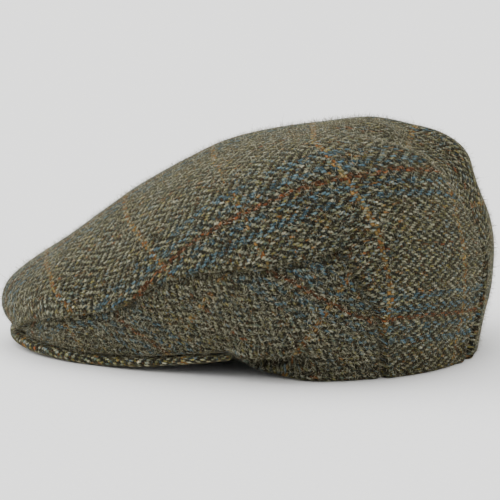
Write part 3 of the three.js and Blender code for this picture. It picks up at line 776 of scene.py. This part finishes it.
# gaps between yarns are in shade, and strands of fibre, 0.3 mm wide, run along each yarn
gap = node(wool, "MapRange", relief, 0.1, 0.9, 0.25, 1.1)
weft_strands, warp_strands = [node(wool, "VectorMath MULTIPLY", bent, stretch)
                              for stretch in ((3.6, 0.5, 1), (0.5, 3.6, 1))]
strand_place = node(wool, "Mix", {0: warp_up, 4: weft_strands, 5: warp_strands}, out=1, data_type="VECTOR")
strands = node(wool, "TexNoise", {"Vector": strand_place, "Scale": 1.0, "Detail": 2, "Roughness": 0.7})
strand_gain = node(wool, "MapRange", strands, 0.3, 0.7, 0.45, 1.6)
own_gain = node(wool, "Math MULTIPLY_ADD", tone_roll, 0.9, 0.57)
patches = node(wool, "TexNoise", {"Vector": in_mm, "Scale": 0.05, "Detail": 2, "Roughness": 0.6})
patch_gain = node(wool, "MapRange", patches, 0.3, 0.7, 0.85, 1.15)
gain = node(wool, "Math MULTIPLY", node(wool, "Math MULTIPLY", gap, strand_gain),
            node(wool, "Math MULTIPLY", own_gain, patch_gain))
dimmed = node(wool, "Math MULTIPLY", gain, TWEED_LIGHT, name="cloth_tone")
lit = node(wool, "Mix", {0: 1.0, 6: yarn_colour, 7: dimmed}, out=2, data_type="RGBA", blend_type="MULTIPLY")
# stray fibres lie across the yarns in all directions
stray = node(wool, "TexNoise", {"Vector": in_mm, "Scale": 1.6, "Detail": 4, "Roughness": 0.9})
veil = node(wool, "MapRange", stray, 0.5, 0.7, 0.0, 0.5)
cloth_colour = node(wool, "Mix", {0: veil, 6: lit, 7: shade("66644f")}, out=2, data_type="RGBA")
height = node(wool, "Math ADD", relief, node(wool, "Math MULTIPLY", strands, 0.6))
bumps = node(wool, "Bump", {"Height": height, "Strength": 1.0, "Distance": 0.0006})
skin = node(wool, "BsdfPrincipled", {"Base Color": cloth_colour, "Roughness": 0.95, "IOR": 1.5,
                                     "Specular IOR Level": 0.1, "Sheen Weight": 0.12, "Sheen Roughness": 0.4,
                                     "Sheen Tint": shade("e8dfae"), "Normal": bumps})
node(wool, "OutputMaterial", skin)

# Nap: short loose fibres of the same wool that stand off the cloth, mostly pale, some dark. Its sizes are
# in metres, as the node tree reads them.
loose_wool, fibre_tree = painted("loose_wool_fibres")
fibre_noise = node(fibre_tree, "TexNoise", {"Vector": node(fibre_tree, "TexCoord", out=3), "Scale": 900,
                                            "Detail": 1})
fibre_colour = node(fibre_tree, "ValToRGB", fibre_noise, stops=("LINEAR", [(0.4, "57533f"), (0.6, "b4b097")]))
fibre_skin = node(fibre_tree, "BsdfPrincipled", {"Base Color": fibre_colour, "Roughness": 0.8,
                                                 "Specular IOR Level": 0.2})
node(fibre_tree, "OutputMaterial", fibre_skin)

FIBRE_LENGTH = 0.0032
FIBRE_WIDTH = 0.00013
# how far each of the four kinds of fibre bends sideways, rises and curls back, as shares of its length
FIBRE_SHAPES = [(0.15, 0.25, 0.0), (-0.45, 0.4, 0.25), (0.6, 0.5, 0.5), (-0.2, 0.75, 0.3)]
# how far a fibre may turn sideways, up off the cloth and round on it, in radians
FIBRE_TURN_LOW = (-0.3, -0.9, 0)
FIBRE_TURN_HIGH = (0.3, 0.15, 6.2832)

nap = bpy.data.node_groups.new("nap_of_fibres", "GeometryNodeTree")
for label, kind in (("Surface", "NodeSocketGeometry"), ("Fibres per square metre", "NodeSocketFloat"),
                    ("Length", "NodeSocketFloat"), ("Width", "NodeSocketFloat"), ("Seed", "NodeSocketInt"),
                    ("Joints", "NodeSocketInt")):
    nap.interface.new_socket(label, in_out="INPUT", socket_type=kind)
nap.interface.new_socket("Fibres", in_out="OUTPUT", socket_type="NodeSocketGeometry")
surface, density, fibre_length, fibre_width, nap_seed, fibre_joints = node(
    nap, "NodeGroupInput", out=None).outputs[:6]
scatter = node(nap, "GeometryNodeDistributePointsOnFaces", {"Mesh": surface, "Density": density,
                                                            "Seed": nap_seed}, out=None)
strip = node(nap, "GeometryNodeMeshGrid", 1.0, 1.0, fibre_joints, 2)
strip_x, strip_y = node(nap, "SeparateXYZ", node(nap, "GeometryNodeInputPosition"), out=None).outputs[:2]
kinds = node(nap, "GeometryNodeGeometryToInstance", out=None)
run = node(nap, "Math ADD", strip_x, 0.5)
run_squared = node(nap, "Math MULTIPLY", run, run)
taper = node(nap, "Math MULTIPLY", strip_y, node(nap, "Math MULTIPLY_ADD", run, -0.8, 1.0))
half_width = node(nap, "Math MULTIPLY", taper, fibre_width)
for sideways, rise, curl in FIBRE_SHAPES:
    forward = node(nap, "Math MULTIPLY_ADD", run_squared, -curl, run)
    swerve = node(nap, "Math MULTIPLY", run_squared, sideways)
    up = node(nap, "Math MULTIPLY_ADD", run_squared, -0.5 * rise, node(nap, "Math MULTIPLY", run, rise))
    forward, swerve, up = [node(nap, "Math MULTIPLY", part, fibre_length) for part in (forward, swerve, up)]
    shaped = node(nap, "CombineXYZ", forward, node(nap, "Math ADD", half_width, swerve), up)
    fibre = node(nap, "GeometryNodeSetPosition", {"Geometry": strip, "Position": shaped})
    nap.links.new(fibre, kinds.inputs[0])
turn_of = node(nap, "FunctionNodeRandomValue", {0: FIBRE_TURN_LOW, 1: FIBRE_TURN_HIGH, "Seed": nap_seed},
               data_type="FLOAT_VECTOR")
turn_of = node(nap, "FunctionNodeEulerToRotation", turn_of)
facing = node(nap, "FunctionNodeRotateRotation", scatter.outputs["Rotation"], turn_of, rotation_space="LOCAL")
size_of = node(nap, "FunctionNodeRandomValue", {2: 0.5, 3: 1.5, "Seed": nap_seed}, out=1, data_type="FLOAT")
kind_of = node(nap, "FunctionNodeRandomValue", {4: 0, 5: len(FIBRE_SHAPES) - 1, "Seed": nap_seed}, out=2,
               data_type="INT")
fibres = node(nap, "GeometryNodeInstanceOnPoints", {
    "Points": scatter.outputs["Points"], "Instance": kinds.outputs[0], "Pick Instance": True,
    "Instance Index": kind_of, "Rotation": facing, "Scale": size_of})
fibres = node(nap, "GeometryNodeRealizeInstances", fibres)
fibres = node(nap, "GeometryNodeSetMaterial", {"Geometry": fibres, "Material": loose_wool})
node(nap, "NodeGroupOutput", fibres)


def painted_light_copy(tone, name):
    """The same tweed a little darker or lighter: a copy that paints shade or light onto one piece."""
    other = tweed.copy()
    other.name = name
    other.node_tree.nodes["cloth_tone"].inputs[1].default_value = TWEED_LIGHT * tone
    return other


def numbered(grid):
    """A vertex number for each place of a grid."""
    return np.arange(grid.shape[0] * grid.shape[1]).reshape(grid.shape[:2])


def grow_nap(name, face, count, seed, slot, length=FIBRE_LENGTH, width=FIBRE_WIDTH, joints=4):
    """Grows about count fibres from a grid of points in mm, and makes them a piece of their own."""
    ids = numbered(face)
    quads = np.stack([ids[:-1, 1:], ids[:-1, :-1], ids[1:, :-1], ids[1:, 1:]], -1).reshape(-1, 4)
    ground = bpy.data.meshes.new(name + "_ground")
    ground.from_pydata((face.reshape(-1, 3) / 1000).tolist(), [], quads.tolist())
    ground.update()
    area = sum(polygon.area for polygon in ground.polygons)
    grower = bpy.data.objects.new(name + "_grower", ground)
    bpy.context.scene.collection.objects.link(grower)
    growth = grower.modifiers.new("nap", "NODES")
    growth.node_group = nap
    values = {"Fibres per square metre": count / area, "Length": length, "Width": width, "Seed": seed,
              "Joints": joints}
    for item in nap.interface.items_tree:
        if item.name in values:
            growth[item.identifier] = values[item.name]
    seen = bpy.context.evaluated_depsgraph_get()
    grown = bpy.data.meshes.new_from_object(grower.evaluated_get(seen), depsgraph=seen)
    grown.name = name
    # fibres at the hem bend up where they would pass through the table
    for vertex in grown.vertices:
        vertex.co.z = abs(vertex.co.z)
    grower.modifiers.remove(growth)
    bpy.data.objects.remove(grower)
    bpy.data.meshes.remove(ground)
    grown.materials.clear()
    place_piece(name, grown, loose_wool, slot)


coarse = panel_edge(1)
coarse_angle = np.repeat(coarse[:, :1], LAY_ROWS + 1, 1)
coarse_level = coarse[:, 1:] + (1 - coarse[:, 1:]) * np.linspace(0, 1, LAY_ROWS + 1)
ids = numbered(coarse_angle)
ids[:, -1] = ids[0, -1]
ids[-1, coarse_level[0] >= TAILS_JOIN] = ids[0, coarse_level[0] >= TAILS_JOIN]
ids = np.unique(ids, return_inverse=True)[1].reshape(ids.shape)
layout = lay_flat(crown_soft(coarse_angle, coarse_level), coarse_angle, coarse_level, ids, TOP_CHECK)

edge_steps = np.arange((len(coarse) - 1) * SUBDIVIDE + 1) / SUBDIVIDE
fine = np.stack([np.interp(edge_steps, range(len(coarse)), coarse[:, k]) for k in (0, 1)], 1)
for k, (a, v) in enumerate(fine):
    turn = 180 - abs(a - 180)
    if v > 0 and REAR_FOOT < turn < REAR_CORNER:
        fine[k, 0] = 180 + np.sign(a - 180) * (180 - float(read_table(REAR_SEAM, v, 0, 1)))
    elif REAR_CORNER <= turn <= FRONT_TIP:
        fine[k, 1] = float(read_table(SIDE_SEAM, turn))
outer_rows = np.concatenate([[0, 0.0008, 0.002, 0.0038, 0.006, 0.009, 0.0125, 0.017, 0.0225, 0.029],
                             np.linspace(0.037, 1, 84)])
fine_angle = np.repeat(fine[:, :1], len(outer_rows), 1)
fine_level = fine[:, 1:] + (1 - fine[:, 1:]) * outer_rows
outer, inner = cloth_faces(fine_angle, fine_level, True)
inner_pick = np.r_[0:10:2, 10:len(outer_rows) - 1:3, len(outer_rows) - 1]
round_edge(outer, inner, fine[:, 1] < 1e-6)
outer[:, -1] = outer[:-1, -1].mean(0)
inner[:, -1] = inner[:-1, -1].mean(0)
fine_flat = between(layout, edge_steps, outer_rows * LAY_ROWS)
section = np.concatenate([outer[:, ::-1], inner[:, inner_pick[1:]]], 1)
section_flat = np.concatenate([fine_flat[:, ::-1], fine_flat[:, inner_pick[1:]]], 1)
ids = numbered(section)
ids[-1] = ids[0]
ids[:, 0] = ids[0, 0]
ids[:, -1] = ids[0, -1]
used, ids_flat = np.unique(ids, return_inverse=True)
ids = ids_flat.reshape(ids.shape)
top_mesh = grid_mesh("top_panel_cloth", ids, section_flat, section.reshape(-1, 3)[used])
place_piece("top_panel_cloth", top_mesh, tweed, "tweed_top", "top_panel")
grow_nap("top_panel_nap", outer[::2, 3::2], count=27000, seed=5, slot="tweed_top")
# a few fibres of 8.5 mm, pulled loose by wear
grow_nap("top_panel_stray_fibres", outer[::2, 3::2], count=260, seed=6, slot="tweed_top", length=0.0085,
         width=0.00014, joints=10)


# --- Side panels ---------------------------------------------------------------------------------------
# A lens of the same tweed on each side, cut on the bias, so its ribs slant down to the back. It is sewn
# to the top panel along its curved edge, and its hem is folded in. Behind the peak the hem is drawn in.

# Painted shade: the side panels get a darker copy of the tweed, standing for shade on the cap's lower sides.
shaded_side_tweed = painted_light_copy(0.78, "herringbone_tweed_painted_shade")
SIDE_COLUMNS = 22
SIDE_ROWS = 12
SIDE_STEP = 7
SEAM_MIDDLE = REAR_CORNER + 0.36 * (FRONT_TIP - REAR_CORNER)  # the seam's angle above the temple
SIDE_CHECK = [
    ("along", 0, [(79.5, 0.41), (72, 0.395), (61.5, 0.345), (55, 0.31), (44, 0.26)]),
    ("along", None, [(98.5, 0.378), (88.5, 0.315), (79.5, 0.265), (71.5, 0.205)]),
    ("along", None, [(113.5, 0.367), (104.5, 0.28), (97.5, 0.173), (93.5, 0.092)]),
    ("along", None, [(130, 0.235), (127.5, 0.168), (125.5, 0.098)]),
    ("across", 0, [(52.5, 0.395), (56, 0.345), (60, 0.275), (65.5, 0.18)]),
]


def side_grid(side, columns, rows):
    """(angle, level) of a side panel. Columns run from the rear seam to the front tip."""
    columns = columns[:, None]
    hem = np.interp(columns, [0, 9, 10, SIDE_COLUMNS], [REAR_FOOT, HEM_END, TEMPLE_ANGLE, TIP_ANGLE])
    seam = np.interp(columns, [0, 10, SIDE_COLUMNS], [REAR_CORNER, SEAM_MIDDLE, FRONT_TIP])
    rear = read_table(REAR_SEAM, CORNER_LEVEL * rows, 0, 1)
    straight = REAR_FOOT + (REAR_CORNER - REAR_FOOT) * rows
    bow = (rear - straight) * (1 - columns / SIDE_COLUMNS) ** 3
    return side * (hem + (seam - hem) * rows + bow), rows * read_table(SIDE_SEAM, seam)


def tube_mesh(name, points, flat):
    """A mesh from a grid of points in mm whose columns run all the way round a section."""
    ids = numbered(points)
    return grid_mesh(name, np.concatenate([ids, ids[:, :1]], 1), np.concatenate([flat, flat[:, :1]], 1),
                     points.reshape(-1, 3))


for side, name, node_name in ((-1, "side_panel_left_cloth", "side_panel_left"),
                              (1, "side_panel_right_cloth", "side_panel_right")):
    order = slice(None, None, side)
    columns = np.arange(SIDE_COLUMNS + 1, dtype=float)[order]
    angle, level = side_grid(side, columns, np.linspace(0, 1, SIDE_ROWS + 1))
    lines = [(kind, value, [(side * a, v) for a, v in line]) for kind, value, line in SIDE_CHECK]
    layout = lay_flat(crown_soft(angle, level), angle, level, numbered(angle), lines)
    columns = (np.arange(SIDE_COLUMNS * SIDE_STEP + 1) / SIDE_STEP)[order]
    rows = np.concatenate([[0, 0.0025, 0.006, 0.011, 0.018, 0.028, 0.042], np.linspace(0.06, 0.94, 34),
                           [0.958, 0.972, 0.983, 0.991, 0.997, 1]])
    angle, level = side_grid(side, columns, rows)
    outer, inner = cloth_faces(angle, level, False)
    round_edge(outer, inner, np.full(len(angle), True))
    fine_flat = between(layout, np.arange(len(columns)) / SIDE_STEP, rows * SIDE_ROWS)
    section = np.concatenate([outer[:, ::-1], inner[:, 1:]], 1)
    section_flat = np.concatenate([fine_flat[:, ::-1], fine_flat[:, 1:]], 1)
    place_piece(name, tube_mesh(name, section, section_flat), shaded_side_tweed, "tweed_side", node_name)
    grow_nap(node_name + "_nap", outer[::2, 3::2], count=7000, seed=7 + side, slot="tweed_side")


# --- Peak ----------------------------------------------------------------------------------------------
# A stiff crescent of board between two layers of the tweed, with a rounded edge. The upper layer is
# drawn round the edge and sewn to the lower one just beneath it. Most of it lies under the crown.

# Painted light: the peak gets a lighter copy of the tweed, brightening its edge where it lies in shade under
# the crown.
lit_peak_tweed = painted_light_copy(1.6, "herringbone_tweed_painted_light")
PEAK_COLUMNS = 240
PEAK_PUSH = 3.2  # how much further forward the middle of the edge stands, as the board is bent
PEAK_INSIDE = HEAD_LENGTH / 2, HEAD_LENGTH / 2, HEAD_WIDTH / 2, 2.1, 2.1  # the oval that it is sewn along
angle = np.linspace(TEMPLE_ANGLE, 360 - TEMPLE_ANGLE, PEAK_COLUMNS + 1)[:, None]
edge = peak_radius(angle) + PEAK_PUSH * smooth((from_back(angle) - 138) / 28)
width = edge - oval(angle, *PEAK_INSIDE)
half_thick = (peak_top(angle, 0) - peak_under(angle, 0)) / 2
share = np.linspace(1, 0, 16)[None, :]
over_in = half_thick + (width - half_thick) * share
over = np.stack([edge - over_in, peak_top(angle, over_in)], -1)
swing = np.radians(np.linspace(80, -80, 15)[None, :])
rim_in = half_thick * (1 - np.cos(swing))
rim = np.stack([edge - rim_in, peak_under(angle, rim_in) + half_thick * (1 + np.sin(swing))], -1)
under_in = over_in[:, ::-1]
under = np.stack([edge - under_in, peak_under(angle, under_in)], -1)
profile = np.concatenate([over, rim, under], 1)
radius, z = profile[..., 0], profile[..., 1]
steps = np.hypot(np.diff(radius, axis=1), np.diff(z, axis=1))
path = np.concatenate([radius[:, :1], radius[:, :1] + np.cumsum(steps, 1)], 1)
c, s = np.cos(np.radians(angle)), np.sin(np.radians(angle))
points = np.stack([radius * c, radius * s, z], -1)
push = 0.35 * lumps(points, 15, 21) + 0.15 * lumps(points, 6, 22)
half = width * 0.5
core_height = (peak_top(angle, half) + peak_under(angle, half)) / 2
core = np.stack([(edge - half) * c, (edge - half) * s, core_height], -1)
lift = unit(points - core)
points = points + lift * (push - 0.35)[..., None]
peak_flat = (path * c + 30) + 1j * (path * s + 20)
place_piece("peak_cover", tube_mesh("peak_cover", points, peak_flat), lit_peak_tweed, "tweed_peak", "peak")
grow_nap("peak_nap", points[:, 10:34], count=3500, seed=9, slot="tweed_peak")
